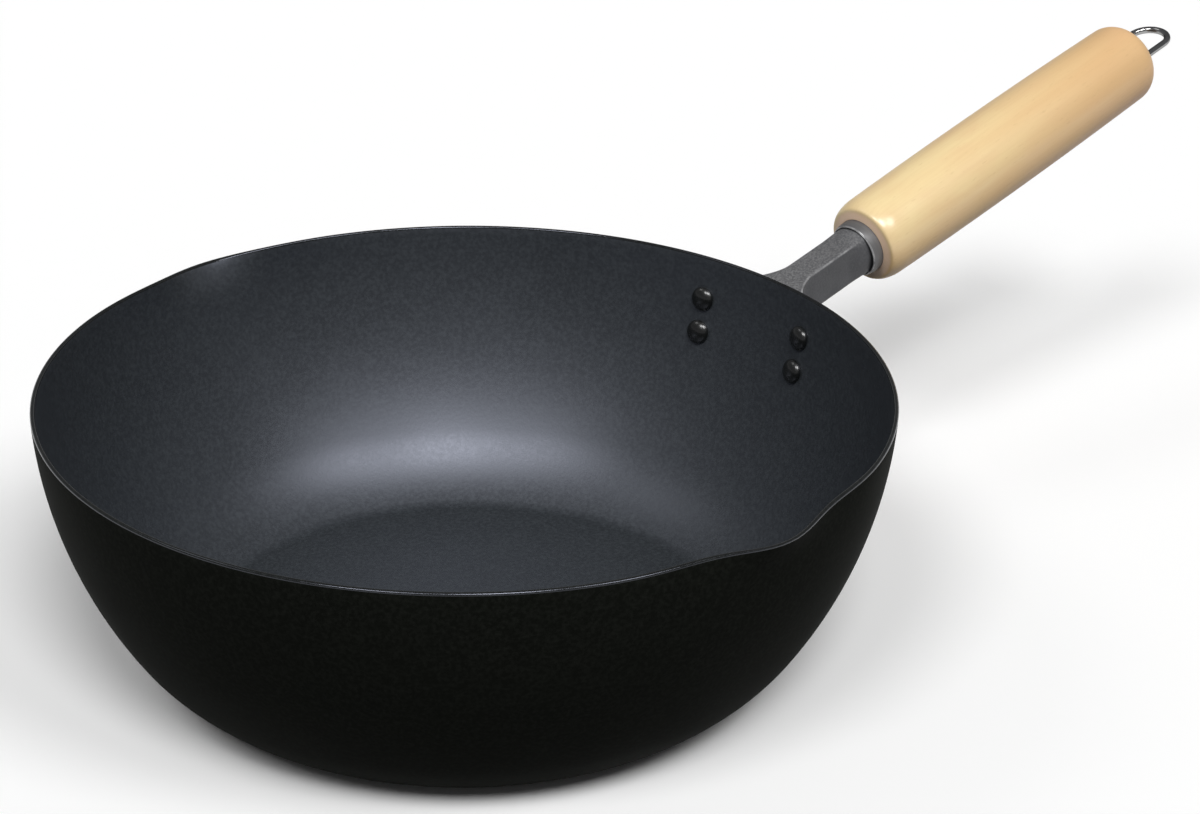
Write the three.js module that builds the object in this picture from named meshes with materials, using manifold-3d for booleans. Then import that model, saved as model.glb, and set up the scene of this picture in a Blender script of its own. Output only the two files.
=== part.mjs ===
// Deep iron frying pan: a pressed bowl with two pour lips, a riveted steel bracket, a collar,
// a turned wooden grip and a hanging loop that screws onto the tie rod inside the grip.
// Millimetres and degrees, +Z up. The origin is the centre of the flat underside, and the handle
// points along +X. Stations are measured along the handle axis from the rim's outer radius.

import * as THREE from 'three';
import { mergeVertices } from 'three/addons/utils/BufferGeometryUtils.js';
import Module from 'manifold-3d';

// Bowl
const RIM_INNER_DIAMETER = 280;
const BOWL_WALL = 1.6;
const BOWL_HEIGHT = 95.2;
const BASE_RADIUS = 91.3;
const BASE_EDGE_RADIUS = 12;
const BASE_EDGE_TURN = 29;
const CORNER_RADIUS = 59.5;
const CORNER_TURN = 57.3;

// Pour lips, square to the handle
const LIP_REACH = 3.4;
const LIP_DIP = 1.2;
const LIP_HALF_ANGLE = 8.5;
const LIP_SPREAD_ANGLE = 10;
const LIP_FADE_DEPTH = 38;

// Handle axis: how far below the rim it crosses the rim's outer radius, and its rise
const AXIS_BELOW_RIM = 16.8;
const HANDLE_RISE = 13.7;

// Bracket, pressed from plate: a channel neck that flares into two ears
const PLATE = 2.4;
const NECK_WIDTH = 12.4;
const NECK_TOP = 7.5;
const NECK_BOTTOM = 7.1;
const NECK_EDGE_ROUND = 1;
const FLARE_WIDTH_TOP = 54;
const FLARE_WIDTH_LOW = 28;
const FLARE_LENGTH_TOP = 23.4;
const FLARE_LENGTH_LOW = 12;
const FLARE_HOLD = 0.46;
const FLARE_SETTLE = 0.24;
const EAR_WIDTH = 68;
const EAR_BOTTOM = 19.5;
const EAR_CORNER = 9;
const UNDERCUT_LENGTH = 30;

// Rivets
const RIVET_SPREAD = 10;
const UPPER_RIVETS_BELOW_RIM = 16.2;
const LOWER_RIVETS_BELOW_RIM = 28.7;
const RIVET_SHANK_DIAMETER = 4.4;
const RIVET_HEAD_DIAMETER = 9;
const RIVET_HEAD_HEIGHT = 2.4;
const RIVET_TAIL_DIAMETER = 7;
const RIVET_TAIL_HEIGHT = 2;

// Collar, a cup that holds the neck's end in front and sits in the grip behind
const COLLAR_FRONT = 51.2;
const COLLAR_WALL = 1.1;
const COLLAR_LIP = 0.3;
const COLLAR_SHOULDER = 3.4;
const COLLAR_RECESS = 10;
const COLLAR_FLOOR = 4;
const COLLAR_SHOWING = 4.6;

// Wooden grip
const GRIP_LENGTH = 164.2;
const GRIP_DIAMETER = 34.1;
const GRIP_BARREL = 0.65;
const GRIP_FRONT_ROUND_LENGTH = 8.4;
const GRIP_FRONT_ROUND_DEPTH = 3.9;
const GRIP_FRONT_EDGE = 2.4;
const GRIP_REAR_ROUND = 8;
const GRIP_REAR_RECESS = 15;

// Tie rod, end washer, loop nut and hanging loop
const ROD_DIAMETER = 6;
const ROD_HEAD_DIAMETER = 9;
const ROD_HEAD_HEIGHT = 2.2;
const WASHER_THICKNESS = 1.5;
const NUT_LENGTH = 10.5;
const NUT_DIAMETER = 13;
const NUT_PAST_ROD = 1;
const WIRE_DIAMETER = 2.7;
const LOOP_WELD_LENGTH = 9.5;
const LOOP_REACH = 22;
const LOOP_LIFT = 2.2;

// Fits, each the gap on one side
const SEAT_GAP = 0.3;
const NECK_FIT = 0.2;
const HOLE_CLEARANCE = 0.25;
const THREAD_CLEARANCE = 0.1;
const WELD_GAP = 0.2;
const LOOP_CLEARANCE = 0.8;

// Facets
const BOWL_SEGMENTS = 88;
const BOWL_CROWDING = 0.1;
const BASE_EDGE_STEPS = 3;
const CORNER_STEPS = 4;
const WALL_STEPS = 6;
const RIM_STEPS = 4;
const FLARE_STEPS = 8;
const FLARE_LEVELS = 4;
const TURNED_SEGMENTS = 40;
const SMALL_SEGMENTS = 24;
const ROUND_STEPS = 5;
const BARREL_STEPS = 8;
const WIRE_CURVE_SEGMENTS = 6;
const WIRE_STEPS = 34;

// Finishes
const BLACK_IRON = { color: 0x2a2d31, roughness: 0.55, metalness: 0.35 };
const GREY_STEEL = { color: 0x6d6f71, roughness: 0.5, metalness: 0.85 };
const COLLAR_STEEL = { color: 0x7b7e81, roughness: 0.38, metalness: 0.9 };
const PALE_WOOD = { color: 0xe6c08a, roughness: 0.42, metalness: 0 };
const BRIGHT_STEEL = { color: 0xb9bbbd, roughness: 0.2, metalness: 1 };

const wasm = await Module();
wasm.setup();

const radians = THREE.MathUtils.degToRad;
const lerp = THREE.MathUtils.lerp;
const point = (x, y) => new THREE.Vector2(x, y);

// A closed solid: shared corners are merged and triangles without area are dropped.
function solidFrom(geometry) {
  const bare = geometry.clone();
  bare.deleteAttribute('normal');
  bare.deleteAttribute('uv');
  const merged = mergeVertices(bare);
  const corners = merged.index.array;
  const triangles = [];
  for (let i = 0; i < corners.length; i += 3) {
    const [a, b, c] = corners.slice(i, i + 3);
    if (a !== b && b !== c && c !== a) triangles.push(a, b, c);
  }
  const vertProperties = new Float32Array(merged.attributes.position.array);
  const triVerts = new Uint32Array(triangles);
  return new wasm.Manifold(new wasm.Mesh({ numProp: 3, vertProperties, triVerts }));
}

function geometryFrom(solid) {
  const mesh = solid.getMesh();
  const geometry = new THREE.BufferGeometry();
  geometry.setAttribute('position', new THREE.BufferAttribute(mesh.vertProperties, 3));
  geometry.setIndex(new THREE.BufferAttribute(mesh.triVerts, 1));
  geometry.computeVertexNormals();
  return geometry;
}

const moved = (solid, matrix) => solidFrom(geometryFrom(solid).applyMatrix4(matrix));

function piece(name, solid, finish) {
  const mesh = new THREE.Mesh(geometryFrom(solid), new THREE.MeshStandardMaterial(finish));
  mesh.name = name;
  return mesh;
}

// Points of an elliptic arc, with the turn measured from straight down towards +x.
function arc(centre, radiusX, radiusY, from, to, steps) {
  const points = [];
  for (let i = 0; i <= steps; i++) {
    const turn = lerp(from, to, i / steps);
    points.push(point(centre.x + radiusX * Math.sin(turn), centre.y - radiusY * Math.cos(turn)));
  }
  return points;
}

// A piece turned about the x axis. A profile point is a radius and a station, and the profile
// goes round the section with the rear end as its upper side, counter-clockwise.
function turned(profile, segments) {
  const geometry = new THREE.LatheGeometry(profile, segments);
  geometry.rotateZ(-Math.PI / 2);
  return solidFrom(geometry);
}

// Bowl section: a tight edge leaves the flat base, a corner arc follows it, and a wall arc tangent
// to the corner ends at the rim
const rimRadius = RIM_INNER_DIAMETER / 2 + BOWL_WALL;
const cornerTurn = radians(CORNER_TURN);
const edgeTurn = radians(BASE_EDGE_TURN);
const edgeCentre = point(BASE_RADIUS, BASE_EDGE_RADIUS);
const towardsEdge = point(Math.sin(edgeTurn), -Math.cos(edgeTurn));
const cornerCentre = edgeCentre.clone().addScaledVector(towardsEdge, BASE_EDGE_RADIUS - CORNER_RADIUS);
const towardsCentre = point(-Math.sin(cornerTurn), Math.cos(cornerTurn));
const wallStart = cornerCentre.clone().addScaledVector(towardsCentre, -CORNER_RADIUS);
const wallEnd = point(rimRadius, BOWL_HEIGHT - BOWL_WALL / 2);
const wallChord = wallEnd.clone().sub(wallStart);
const wallRadius = wallChord.lengthSq() / (2 * wallChord.dot(towardsCentre));
const wallCentre = wallStart.clone().addScaledVector(towardsCentre, wallRadius);
const wallEndTurn = Math.atan2(wallEnd.x - wallCentre.x, wallCentre.y - wallEnd.y);

// The bowl's outside moved out by an offset, from the edge of the base to the rim.
function bowlCurve(offset) {
  const edgeArc = BASE_EDGE_RADIUS + offset;
  const cornerArc = CORNER_RADIUS + offset;
  const wallArc = wallRadius + offset;
  const edge = arc(edgeCentre, edgeArc, edgeArc, 0, edgeTurn, BASE_EDGE_STEPS);
  const corner = arc(cornerCentre, cornerArc, cornerArc, edgeTurn, cornerTurn, CORNER_STEPS);
  const wall = arc(wallCentre, wallArc, wallArc, cornerTurn, wallEndTurn, WALL_STEPS);
  return [...edge, ...corner.slice(1), ...wall.slice(1)];
}

// Outside radius of the wall at a height, moved out by an offset.
function wallRadiusAt(height, offset) {
  return wallCentre.x + Math.sqrt((wallRadius + offset) ** 2 - (height - wallCentre.y) ** 2);
}

// A bowl profile turned about Z, with the facets crowded at the handle and at the lips.
function bowlGeometry(profile) {
  const geometry = new THREE.LatheGeometry(profile, BOWL_SEGMENTS);
  geometry.rotateX(Math.PI / 2);
  const place = geometry.attributes.position;
  for (let i = 0; i < place.count; i++) {
    const radius = Math.hypot(place.getX(i), place.getY(i));
    const even = Math.atan2(place.getY(i), place.getX(i));
    const azimuth = even - BOWL_CROWDING * Math.sin(4 * even);
    place.setXY(i, radius * Math.cos(azimuth), radius * Math.sin(azimuth));
  }
  return geometry;
}

// Draws the rim out into the two lips: a crest with flatter rim beside it, fading down the wall.
function drawLips(geometry) {
  const place = geometry.attributes.position;
  const fadeStart = BOWL_HEIGHT - LIP_FADE_DEPTH;
  for (let i = 0; i < place.count; i++) {
    const height = place.getZ(i);
    if (height <= fadeStart) continue;
    const radius = Math.hypot(place.getX(i), place.getY(i));
    const azimuth = Math.atan2(place.getY(i), place.getX(i));
    const fromLip = THREE.MathUtils.radToDeg(Math.abs(azimuth)) - 90;
    const crest = (1 - (fromLip / LIP_HALF_ANGLE) ** 2) * Math.exp(-((fromLip / LIP_SPREAD_ANGLE) ** 2));
    const drawn = crest * ((height - fadeStart) / LIP_FADE_DEPTH) ** 2;
    const reach = radius + LIP_REACH * drawn;
    const dipped = height - LIP_DIP * drawn;
    place.setXYZ(i, reach * Math.cos(azimuth), reach * Math.sin(azimuth), dipped);
  }
  return geometry;
}

function bowlShell() {
  const outside = bowlCurve(0);
  const inside = bowlCurve(-BOWL_WALL).reverse();
  const rimCentre = outside.at(-1).clone().lerp(inside[0], 0.5);
  const halfWall = BOWL_WALL / 2;
  const rim = arc(rimCentre, halfWall, halfWall, wallEndTurn, wallEndTurn + Math.PI, RIM_STEPS);
  const profile = [point(0, 0), ...outside, ...rim.slice(1, -1), ...inside, point(0, BOWL_WALL)];
  return solidFrom(drawLips(bowlGeometry(profile)));
}

// The room that the bowl takes up, moved out by an offset and carried on past the rim.
function bowlRoom(offset) {
  const curve = bowlCurve(offset);
  const top = BOWL_HEIGHT + AXIS_BELOW_RIM;
  const profile = [point(0, -offset), ...curve, point(curve.at(-1).x, top), point(0, top)];
  return solidFrom(bowlGeometry(profile));
}

// Handle frame: x along the handle axis, y to its left, z square to both
const handle = new THREE.Group();
handle.position.set(rimRadius, 0, BOWL_HEIGHT - AXIS_BELOW_RIM);
handle.rotation.y = -radians(HANDLE_RISE);
handle.updateMatrix();
const intoHandle = handle.matrix.clone().invert();

// Stations and radii along the handle, from the collar to the loop
const neckHalf = NECK_WIDTH / 2;
const topCorner = Math.hypot(neckHalf - NECK_EDGE_ROUND, NECK_TOP - NECK_EDGE_ROUND) + NECK_EDGE_ROUND;
const collarMouth = Math.max(topCorner, Math.hypot(neckHalf, NECK_BOTTOM)) + NECK_FIT;
const collarRadius = collarMouth + COLLAR_WALL;
const collarFloor = COLLAR_FRONT + COLLAR_RECESS;
const collarRear = collarFloor + COLLAR_FLOOR;
const rodRadius = ROD_DIAMETER / 2;
const rodHole = rodRadius + HOLE_CLEARANCE;
const rodHeadRear = collarFloor - SEAT_GAP;
const rodHeadFront = rodHeadRear - ROD_HEAD_HEIGHT;
const neckEnd = rodHeadFront - SEAT_GAP;
const gripFront = COLLAR_FRONT + COLLAR_SHOWING;
const gripRear = gripFront + GRIP_LENGTH;
const washerFront = gripRear - GRIP_REAR_RECESS + SEAT_GAP;
const nutFront = washerFront + WASHER_THICKNESS + SEAT_GAP;
const nutRear = nutFront + NUT_LENGTH;
const wireRadius = WIRE_DIAMETER / 2;
const wireFromAxis = NUT_DIAMETER / 2 + WELD_GAP + wireRadius;
const loopHalf = Math.sqrt(wireFromAxis ** 2 - LOOP_LIFT ** 2);
const rearRecessRadius = wireFromAxis + wireRadius + LOOP_CLEARANCE;

// Station where the wall, moved out by an offset, meets a line that runs along the handle axis.
function wallStation(across, up, offset) {
  const rise = radians(HANDLE_RISE);
  const passes = 12;
  let station = 0;
  for (let pass = 0; pass < passes; pass++) {
    const height = handle.position.z + station * Math.sin(rise) + up * Math.cos(rise);
    const reach = Math.sqrt(wallRadiusAt(height, offset) ** 2 - across ** 2);
    station = (reach - rimRadius + up * Math.sin(rise)) / Math.cos(rise);
  }
  return station;
}

// Plan of the bracket at one height, moved in by an inset: along the neck from its end, out through
// the flare onto the ear and on into the bowl, then back on the other side. The flare is widest at the top.
function bracketLevel(up, inset, end) {
  const depth = Math.min(1, Math.max(0, (NECK_TOP - up) / (NECK_TOP + EAR_BOTTOM)));
  const eased = Math.sqrt(depth);
  const earAcross = lerp(FLARE_WIDTH_TOP, FLARE_WIDTH_LOW, eased) / 2;
  const settleAcross = lerp(earAcross, neckHalf, FLARE_SETTLE);
  const length = lerp(FLARE_LENGTH_TOP, FLARE_LENGTH_LOW, eased);
  const earStation = wallStation(earAcross, up, SEAT_GAP + PLATE);
  const bend = new THREE.CubicBezierCurve(
    point(earStation + length, neckHalf),
    point(earStation + length * (1 - FLARE_HOLD), neckHalf),
    point(wallStation(settleAcross, up, SEAT_GAP + PLATE), settleAcross),
    point(earStation, earAcross),
  );
  const left = [point(end, neckHalf - inset)];
  for (let i = 0; i <= FLARE_STEPS; i++) {
    const along = bend.getTangent(i / FLARE_STEPS);
    const inward = point(-along.y, along.x);
    left.push(bend.getPoint(i / FLARE_STEPS).addScaledVector(inward, inset));
  }
  left.push(point(-rimRadius / 2, left.at(-1).y));
  const right = left.map((corner) => point(corner.x, -corner.y)).reverse();
  return { up, outline: [...right, ...left] };
}

// Joins level outlines, given from the top down, into one closed solid.
function loft(levels) {
  const corners = levels.flatMap(({ up, outline }) => outline.flatMap(({ x, y }) => [x, y, up]));
  const count = levels[0].outline.length;
  const last = (levels.length - 1) * count;
  const triangles = [];
  for (let row = 0; row < last; row += count) {
    for (let i = 0; i < count; i++) {
      const a = row + i;
      const b = row + ((i + 1) % count);
      triangles.push(a, b + count, b, a, a + count, b + count);
    }
  }
  for (const [a, b, c] of THREE.ShapeUtils.triangulateShape(levels[0].outline, [])) {
    triangles.push(a, b, c);
  }
  for (const [a, b, c] of THREE.ShapeUtils.triangulateShape(levels.at(-1).outline, [])) {
    triangles.push(last + a, last + c, last + b);
  }
  const geometry = new THREE.BufferGeometry();
  geometry.setAttribute('position', new THREE.Float32BufferAttribute(corners, 3));
  geometry.setIndex(triangles);
  return solidFrom(geometry);
}

// Heights from one level down to another, closer together near the top, where the flare changes most.
function heights(top, bottom) {
  const list = [];
  for (let i = 0; i <= FLARE_LEVELS; i++) list.push(lerp(top, bottom, (i / FLARE_LEVELS) ** 2));
  return list;
}

// Outside of the pressing, with the edges of its top rounded over.
function bracketOutside() {
  const levels = [];
  const roundSteps = 2;
  for (let i = 0; i < roundSteps; i++) {
    const turn = (i / roundSteps) * (Math.PI / 2);
    const drop = NECK_EDGE_ROUND * (1 - Math.cos(turn));
    const inset = NECK_EDGE_ROUND * (1 - Math.sin(turn));
    levels.push(bracketLevel(NECK_TOP - drop, inset, neckEnd));
  }
  for (const up of heights(NECK_TOP - NECK_EDGE_ROUND, -EAR_BOTTOM)) {
    levels.push(bracketLevel(up, 0, neckEnd));
  }
  return loft(levels);
}

// Hollow of the pressing, open below and at the neck's end.
function bracketHollow() {
  const below = -EAR_BOTTOM - PLATE;
  return loft(heights(NECK_TOP - PLATE, below).map((up) => bracketLevel(up, PLATE, neckEnd + PLATE)));
}

// Side view of the bracket: the underside rises from the foot of the ears to the slim neck.
function bracketSideView() {
  const foot = wallStation(FLARE_WIDTH_LOW / 2, -EAR_BOTTOM, SEAT_GAP + PLATE);
  const view = new THREE.Shape();
  view.moveTo(-rimRadius / 2, NECK_TOP + PLATE);
  view.lineTo(-rimRadius / 2, -EAR_BOTTOM);
  view.lineTo(foot, -EAR_BOTTOM);
  view.quadraticCurveTo(foot + UNDERCUT_LENGTH / 2, -NECK_BOTTOM, foot + UNDERCUT_LENGTH, -NECK_BOTTOM);
  view.lineTo(neckEnd, -NECK_BOTTOM);
  view.lineTo(neckEnd, NECK_TOP + PLATE);
  const geometry = new THREE.ExtrudeGeometry(view, {
    depth: EAR_WIDTH,
    bevelEnabled: false,
    curveSegments: FLARE_STEPS,
  });
  geometry.translate(0, 0, -EAR_WIDTH / 2);
  geometry.rotateX(Math.PI / 2);
  return solidFrom(geometry);
}

// Front view of the ears, carried along the handle axis from inside the bowl to outside it.
function earFrontView() {
  const half = EAR_WIDTH / 2;
  const view = new THREE.Shape();
  view.absarc(EAR_CORNER - half, EAR_CORNER - EAR_BOTTOM, EAR_CORNER, Math.PI, 1.5 * Math.PI);
  view.absarc(half - EAR_CORNER, EAR_CORNER - EAR_BOTTOM, EAR_CORNER, 1.5 * Math.PI, 2 * Math.PI);
  view.absarc(half - EAR_CORNER, NECK_TOP - EAR_CORNER, EAR_CORNER, 0, 0.5 * Math.PI);
  view.absarc(EAR_CORNER - half, NECK_TOP - EAR_CORNER, EAR_CORNER, 0.5 * Math.PI, Math.PI);
  const geometry = new THREE.ExtrudeGeometry(view, {
    depth: rimRadius,
    bevelEnabled: false,
    curveSegments: ROUND_STEPS,
  });
  geometry.translate(0, 0, -rimRadius / 2);
  const axes = [new THREE.Vector3(0, 1, 0), new THREE.Vector3(0, 0, 1), new THREE.Vector3(1, 0, 0)];
  geometry.applyMatrix4(new THREE.Matrix4().makeBasis(...axes));
  return solidFrom(geometry);
}

// Rivets: the place of each on the wall's outside, with its x axis square to the wall
function rivetPlace(side, belowRim) {
  const height = BOWL_HEIGHT - belowRim;
  const azimuth = side * radians(RIVET_SPREAD);
  const radius = wallRadiusAt(height, 0);
  const lean = Math.asin((height - wallCentre.y) / wallRadius);
  const place = new THREE.Group();
  place.position.set(radius * Math.cos(azimuth), radius * Math.sin(azimuth), height);
  place.rotation.set(0, -lean, azimuth, 'ZYX');
  place.updateMatrix();
  return place;
}

const rivetPlaces = {
  upper_left: rivetPlace(1, UPPER_RIVETS_BELOW_RIM),
  upper_right: rivetPlace(-1, UPPER_RIVETS_BELOW_RIM),
  lower_left: rivetPlace(1, LOWER_RIVETS_BELOW_RIM),
  lower_right: rivetPlace(-1, LOWER_RIVETS_BELOW_RIM),
};

// A rivet in its own place. The head is flat below, so it stands off by the wall's sag across it.
function rivet() {
  const shank = RIVET_SHANK_DIAMETER / 2;
  const headRadius = RIVET_HEAD_DIAMETER / 2;
  const tailRadius = RIVET_TAIL_DIAMETER / 2;
  const headSag = headRadius ** 2 / RIM_INNER_DIAMETER;
  const headBase = -BOWL_WALL - SEAT_GAP - headSag;
  const tailBase = SEAT_GAP + PLATE + SEAT_GAP;
  const profile = [
    ...arc(point(0, headBase), headRadius, RIVET_HEAD_HEIGHT, 0, Math.PI / 2, ROUND_STEPS),
    point(shank, headBase),
    point(shank, tailBase),
    ...arc(point(0, tailBase), tailRadius, RIVET_TAIL_HEIGHT, Math.PI / 2, Math.PI, ROUND_STEPS),
  ];
  return turned(profile, SMALL_SEGMENTS);
}

// All four rivet holes, long enough to pass through the wall and an ear.
function withRivetHoles(solid, intoFrame) {
  const length = 2 * (BOWL_WALL + PLATE + RIVET_TAIL_HEIGHT);
  const radius = RIVET_SHANK_DIAMETER / 2 + HOLE_CLEARANCE;
  let pierced = solid;
  for (const place of Object.values(rivetPlaces)) {
    const hole = new THREE.CylinderGeometry(radius, radius, length, SMALL_SEGMENTS);
    hole.rotateZ(-Math.PI / 2);
    hole.applyMatrix4(place.matrix);
    hole.applyMatrix4(intoFrame);
    pierced = pierced.subtract(solidFrom(hole));
  }
  return pierced;
}

function bracket() {
  const wallWithGap = moved(bowlRoom(SEAT_GAP), intoHandle);
  const ears = moved(bowlRoom(SEAT_GAP + PLATE), intoHandle).intersect(earFrontView());
  const pressing = bracketOutside().intersect(bracketSideView()).add(ears);
  return withRivetHoles(pressing.subtract(wallWithGap).subtract(bracketHollow()), intoHandle);
}

function collar() {
  const lipRadius = collarMouth + COLLAR_LIP;
  const shoulderCentre = point(lipRadius, COLLAR_FRONT + COLLAR_SHOULDER);
  const profile = [
    point(collarMouth, collarFloor),
    point(collarMouth, COLLAR_FRONT),
    ...arc(shoulderCentre, collarRadius - lipRadius, COLLAR_SHOULDER, 0, Math.PI / 2, ROUND_STEPS),
    point(collarRadius, collarRear),
    point(rodHole, collarRear),
    point(rodHole, collarFloor),
    point(collarMouth, collarFloor),
  ];
  return turned(profile, TURNED_SEGMENTS);
}

// Grip: a slight barrel with a flat front face, rounded over behind the edge of that face and at
// the rear, then bored. The edge lies inside the grip's end radius by GRIP_FRONT_EDGE.
function grip() {
  const endRadius = GRIP_DIAMETER / 2 - GRIP_BARREL;
  const barrelFront = gripFront + GRIP_FRONT_ROUND_LENGTH;
  const barrelRear = gripRear - GRIP_REAR_ROUND;
  const frontCentre = point(endRadius - GRIP_FRONT_ROUND_DEPTH, barrelFront);
  const faceTurn = Math.asin(1 - GRIP_FRONT_EDGE / GRIP_FRONT_ROUND_DEPTH);
  const frontLength = GRIP_FRONT_ROUND_LENGTH / Math.cos(faceTurn);
  const rearCentre = point(endRadius - GRIP_REAR_ROUND, barrelRear);
  const barrel = [];
  for (let i = 1; i < BARREL_STEPS; i++) {
    const share = i / BARREL_STEPS;
    const swell = GRIP_BARREL * 4 * share * (1 - share);
    barrel.push(point(endRadius + swell, lerp(barrelFront, barrelRear, share)));
  }
  const outside = turned([
    point(0, gripFront),
    ...arc(frontCentre, GRIP_FRONT_ROUND_DEPTH, frontLength, faceTurn, Math.PI / 2, ROUND_STEPS),
    ...barrel,
    ...arc(rearCentre, GRIP_REAR_ROUND, GRIP_REAR_ROUND, Math.PI / 2, Math.PI, ROUND_STEPS),
    point(0, gripRear),
  ], TURNED_SEGMENTS);
  const frontRecess = collarRadius + HOLE_CLEARANCE;
  const frontFloor = collarRear + SEAT_GAP;
  const rearFloor = gripRear - GRIP_REAR_RECESS;
  const bores = turned([
    point(0, COLLAR_FRONT),
    point(frontRecess, COLLAR_FRONT),
    point(frontRecess, frontFloor),
    point(rodHole, frontFloor),
    point(rodHole, rearFloor),
    point(rearRecessRadius, rearFloor),
    point(rearRecessRadius, gripRear + LOOP_REACH),
    point(0, gripRear + LOOP_REACH),
  ], TURNED_SEGMENTS);
  return outside.subtract(bores);
}

function tieRod() {
  const headRadius = ROD_HEAD_DIAMETER / 2;
  const rodEnd = nutRear - NUT_PAST_ROD;
  const profile = [
    point(0, rodHeadFront),
    point(headRadius, rodHeadFront),
    point(headRadius, rodHeadRear),
    point(rodRadius, rodHeadRear),
    point(rodRadius, rodEnd),
    point(0, rodEnd),
  ];
  return turned(profile, SMALL_SEGMENTS);
}

// A flat ring between two stations.
function ring(inner, outer, front, rear) {
  const profile = [point(inner, front), point(outer, front), point(outer, rear), point(inner, rear)];
  return turned([...profile, profile[0]], TURNED_SEGMENTS);
}

// Centre line of the bent wire: a leg, a half circle and a leg, level and a little above the axis.
class LoopPath extends THREE.Curve {
  constructor(legStart, bendStart) {
    super();
    this.legStart = legStart;
    this.bendStart = bendStart;
  }

  getPoint(share, target = new THREE.Vector3()) {
    const leg = this.bendStart - this.legStart;
    const halfTurn = Math.PI * loopHalf;
    const run = share * (2 * leg + halfTurn);
    if (run <= leg) return target.set(this.legStart + run, loopHalf, LOOP_LIFT);
    if (run >= leg + halfTurn) {
      return target.set(this.bendStart - (run - leg - halfTurn), -loopHalf, LOOP_LIFT);
    }
    const turn = (run - leg) / loopHalf;
    return target.set(this.bendStart + loopHalf * Math.sin(turn), loopHalf * Math.cos(turn), LOOP_LIFT);
  }
}

function hangingLoop() {
  const section = new THREE.Shape();
  section.absarc(0, 0, wireRadius, 0, 2 * Math.PI);
  const bendStart = gripRear + LOOP_REACH - wireRadius - loopHalf;
  const extrudePath = new LoopPath(nutRear - LOOP_WELD_LENGTH, bendStart);
  const options = { extrudePath, steps: WIRE_STEPS, curveSegments: WIRE_CURVE_SEGMENTS };
  return solidFrom(new THREE.ExtrudeGeometry(section, options));
}

// Assembly
const pan = new THREE.Group();
pan.add(piece('pan_body', withRivetHoles(bowlShell(), new THREE.Matrix4()), BLACK_IRON));
for (const [name, place] of Object.entries(rivetPlaces)) {
  place.add(piece(`rivet_${name}`, rivet(), BLACK_IRON));
  pan.add(place);
}

handle.add(piece('handle_bracket', bracket(), GREY_STEEL));
handle.add(piece('collar', collar(), COLLAR_STEEL));
handle.add(piece('wood_grip', grip(), PALE_WOOD));
handle.add(piece('tie_rod', tieRod(), GREY_STEEL));
const washerRadius = rearRecessRadius - HOLE_CLEARANCE;
const washerRear = washerFront + WASHER_THICKNESS;
handle.add(piece('end_washer', ring(rodHole, washerRadius, washerFront, washerRear), BRIGHT_STEEL));
const nutBore = rodRadius + THREAD_CLEARANCE;
handle.add(piece('loop_nut', ring(nutBore, NUT_DIAMETER / 2, nutFront, nutRear), BRIGHT_STEEL));
handle.add(piece('hanging_loop', hangingLoop(), BRIGHT_STEEL));
pan.add(handle);

export default pan;
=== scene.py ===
"""Looks of a deep iron frying pan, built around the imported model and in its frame.

Shapes are worked out in millimetres and become metres when a mesh is made. Pieces of the handle are
made in the handle's own frame: x along the handle axis from the rim's outer radius, z square to it.
"""
import math

import bmesh
import bpy
import numpy as np
from mathutils import Matrix, Vector


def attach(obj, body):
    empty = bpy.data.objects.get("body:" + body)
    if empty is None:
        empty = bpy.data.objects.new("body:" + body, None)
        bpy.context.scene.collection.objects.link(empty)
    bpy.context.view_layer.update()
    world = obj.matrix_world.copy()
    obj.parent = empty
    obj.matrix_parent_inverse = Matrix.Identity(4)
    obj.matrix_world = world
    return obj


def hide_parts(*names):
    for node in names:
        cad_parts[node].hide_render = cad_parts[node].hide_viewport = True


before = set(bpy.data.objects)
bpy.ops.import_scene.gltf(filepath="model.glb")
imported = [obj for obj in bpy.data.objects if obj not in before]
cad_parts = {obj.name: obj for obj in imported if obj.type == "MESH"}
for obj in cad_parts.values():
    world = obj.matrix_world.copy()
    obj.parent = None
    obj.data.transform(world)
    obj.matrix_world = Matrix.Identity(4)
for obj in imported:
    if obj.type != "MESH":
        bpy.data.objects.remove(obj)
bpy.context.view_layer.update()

MM = 0.001
POLE_RADIUS = 1e-9

# Bowl
RIM_RADIUS = 141.6
BOWL_WALL = 1.6
BOWL_HEIGHT = 95.2
BASE_RADIUS = 91.3
BASE_EDGE_RADIUS = 12.0
BASE_EDGE_TURN = math.radians(29)
CORNER_RADIUS = 59.5
CORNER_TURN = math.radians(57.3)
LIP_REACH = 3.39
LIP_DIP = 1.2
LIP_HALF_ANGLE = 8.5
LIP_SPREAD_ANGLE = 10.0
LIP_FADE_DEPTH = 15.0

# Handle axis
AXIS_BELOW_RIM = 16.8
HANDLE_RISE = math.radians(13.7)

# Bracket
PLATE = 2.4
NECK_HALF = 6.2
NECK_TOP = 7.5
NECK_BOTTOM = 7.1
NECK_EDGE_ROUND = 1.0
FLARE_WIDTH_TOP = 54.0
FLARE_WIDTH_LOW = 28.0
FLARE_LENGTH_TOP = 23.4
FLARE_LENGTH_LOW = 12.0
FLARE_HOLD = 0.46
FLARE_SETTLE = 0.24
EAR_WIDTH = 68.0
EAR_BOTTOM = 19.5
EAR_CORNER = 9.0
UNDERCUT_LENGTH = 30.0
NECK_CROWN = 1.7
NECK_SIDE_CROWN = 2.3
NECK_CROWN_SPAN = (41.0, 51.0)
BRACKET_VOXEL = 0.4
SHARP_CURVATURE = 700

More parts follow.
